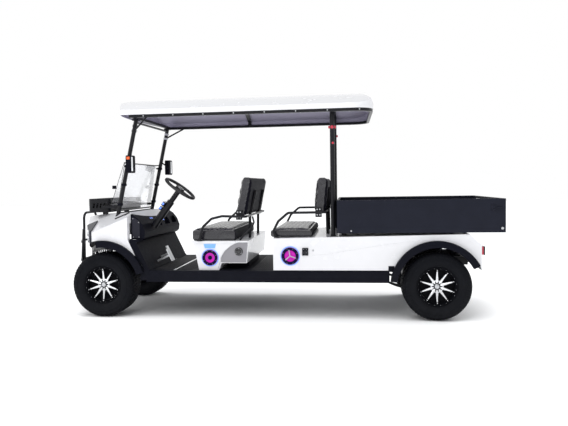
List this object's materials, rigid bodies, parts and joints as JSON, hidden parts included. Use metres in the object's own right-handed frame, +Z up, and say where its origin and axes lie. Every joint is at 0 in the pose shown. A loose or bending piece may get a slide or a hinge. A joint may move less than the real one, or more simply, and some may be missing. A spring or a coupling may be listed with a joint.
{
  "type": "utility golf cart",
  "caption": "Four-seat golf cart with a long roof, a folding screen, two forward bench seats, alloy wheels and a tipping cargo bed.",
  "frame": {"origin": "centre of the bounding box in plan, on the ground", "axes": "+X points to the cart's tail, -Y is the driver's side, +Z is up"},
  "size_m": [3.921, 1.304, 2.012],
  "materials": {
    "tyre_rubber": "matt black moulded tread rubber",
    "machined_alloy": "machined alloy spokes over black pockets",
    "white_panel": "gloss white moulded panels",
    "black_steel": "satin black powder coat",
    "black_plastic": "grained dark moulded plastic",
    "roof_lining": "grey moulded inner liner",
    "clear_screen": "clear lightly tinted screen",
    "seat_vinyl": "quilted black seat leather",
    "bed_panel": "blue-black coated sheet",
    "lamp_lens": "dark clear lamp lens",
    "red_lens": "red moulded lens",
    "speaker_cone": "purple cone in a dark ring",
    "pedal_metal": "brushed metal pads",
    "grip_rubber": "soft black grip"
  },
  "bodies": {
    "root": {"battery_pack": "black_plastic", "bed_mounts": "black_steel", "brush_guard": "black_steel", "chassis_frame": "black_steel", "dampers": "black_steel", "dashboard": "black_plastic", "floor_pan": "black_plastic", "front_basket": "black_steel", "front_cowl": "white_panel", "front_flares": "black_plastic", "front_grille": "black_plastic", "front_posts": "black_steel", "front_seat_back": "seat_vinyl", "front_seat_cushion": "seat_vinyl", "front_seat_frame": "black_steel", "front_seat_pod": "white_panel", "front_speakers": "speaker_cone", "front_suspension": "black_steel", "headlights": "lamp_lens", "kick_panels": "black_plastic", "leaf_springs": "black_steel", "mirrors": "black_plastic", "pedals": "pedal_metal", "rack_housing": "black_steel", "rear_axle": "black_steel", "rear_body": "white_panel", "rear_flares": "black_plastic", "rear_posts": "black_steel", "rear_seat_back": "seat_vinyl", "rear_seat_cushion": "seat_vinyl", "rear_seat_frame": "black_steel", "rear_speakers": "speaker_cone", "roof_frame": "black_steel", "roof_liner": "roof_lining", "roof_shell": "white_panel", "seat_plinth": "black_plastic", "steering_column": "black_steel", "switch_panel": "black_plastic", "tail_lights": "red_lens", "windshield_bar": "black_steel", "windshield_lower": "clear_screen", "windshield_upper": "clear_screen"},
    "wheel_front_left": {"tyre_front_left": "tyre_rubber", "rim_front_left": "machined_alloy"},
    "wheel_front_right": {"tyre_front_right": "tyre_rubber", "rim_front_right": "machined_alloy"},
    "wheel_rear_left": {"tyre_rear_left": "tyre_rubber", "rim_rear_left": "machined_alloy"},
    "wheel_rear_right": {"tyre_rear_right": "tyre_rubber", "rim_rear_right": "machined_alloy"},
    "steer_left": {"knuckle_left": "black_steel"},
    "steer_right": {"knuckle_right": "black_steel"},
    "rack": {"tie_rods": "black_steel"},
    "steering": {"steering_wheel": "grip_rubber"},
    "bed": {"cargo_bed": "bed_panel"},
    "gate": {"tailgate": "bed_panel"}
  },
  "joints": [
    {"name": "steer_left", "type": "hinge", "parent": "root", "child": "steer_left", "pos_m": [-1.554, -0.345, 0.292], "axis": [0, 0, 1], "range_deg": [-28, 28]},
    {"name": "steer_right", "type": "hinge", "parent": "root", "child": "steer_right", "pos_m": [-1.554, 0.345, 0.292], "axis": [0, 0, 1], "range_deg": [-28, 28]},
    {"name": "roll_front_left", "type": "hinge", "parent": "steer_left", "child": "wheel_front_left", "pos_m": [-1.554, -0.505, 0.292], "axis": [0, 1, 0], "continuous": true},
    {"name": "roll_front_right", "type": "hinge", "parent": "steer_right", "child": "wheel_front_right", "pos_m": [-1.554, 0.505, 0.292], "axis": [0, 1, 0], "continuous": true},
    {"name": "roll_rear_left", "type": "hinge", "parent": "root", "child": "wheel_rear_left", "pos_m": [1.409, -0.505, 0.292], "axis": [0, 1, 0], "continuous": true},
    {"name": "roll_rear_right", "type": "hinge", "parent": "root", "child": "wheel_rear_right", "pos_m": [1.409, 0.505, 0.292], "axis": [0, 1, 0], "continuous": true},
    {"name": "rack_slide", "type": "slide", "parent": "root", "child": "rack", "axis": [0, 1, 0], "range_m": [-0.0735, 0.0735]},
    {"name": "steering_turn", "type": "hinge", "parent": "root", "child": "steering", "pos_m": [-0.901, -0.3, 1.155], "axis": [0.6018, 0, 0.7986], "range_deg": [-393, 393]},
    {"name": "bed_tip", "type": "hinge", "parent": "root", "child": "bed", "pos_m": [1.678, 0, 0.753], "axis": [0, 1, 0], "range_deg": [0, 35]},
    {"name": "gate_drop", "type": "hinge", "parent": "bed", "child": "gate", "pos_m": [1.952, 0, 0.774], "axis": [0, 1, 0], "range_deg": [0, 90]}
  ],
  "couplings": [
    {"joint": "steer_right", "follows": "steer_left", "ratio": 1},
    {"joint": "rack_slide", "follows": "steer_left", "m_per_rad": 0.15},
    {"joint": "steering_turn", "follows": "steer_left", "ratio": 14}
  ]
}
